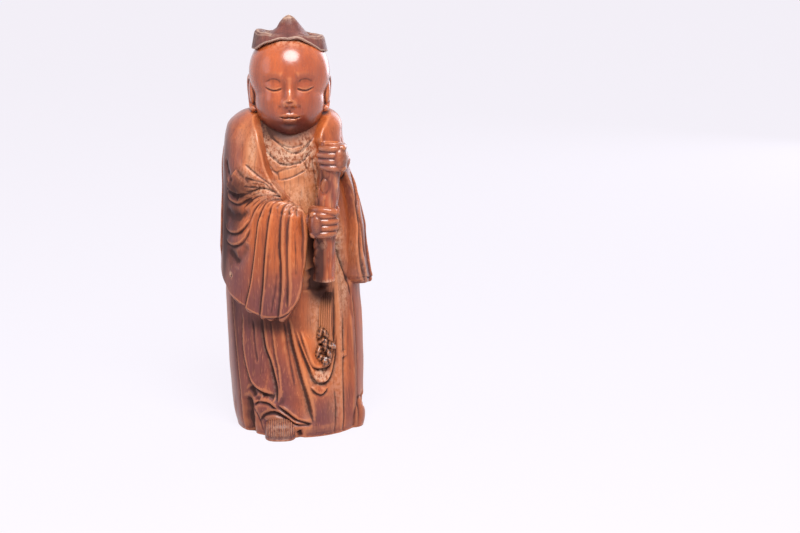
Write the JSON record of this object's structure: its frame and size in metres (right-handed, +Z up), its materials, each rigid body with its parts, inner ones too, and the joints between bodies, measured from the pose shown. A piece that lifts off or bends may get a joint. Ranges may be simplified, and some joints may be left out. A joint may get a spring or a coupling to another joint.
{
  "type": "bamboo figure carving",
  "caption": "Carved bamboo figure of a bald elder in a leaf cap and long-sleeved robe, standing with both hands on a cut stick, for display on a shelf.",
  "frame": {"origin": "middle of the flat underside of the base, on the surface the figure stands on", "axes": "+Z up through the head, -Y towards the figure's front, +X towards the figure's left hand side (the viewer's right)"},
  "size_m": [0.0937, 0.0845, 0.2541],
  "materials": {
    "carved_bamboo": "polished reddish-brown bamboo with dust in the carved lines"
  },
  "bodies": {
    "root": {"figure": "carved_bamboo"}
  },
  "joints": []
}
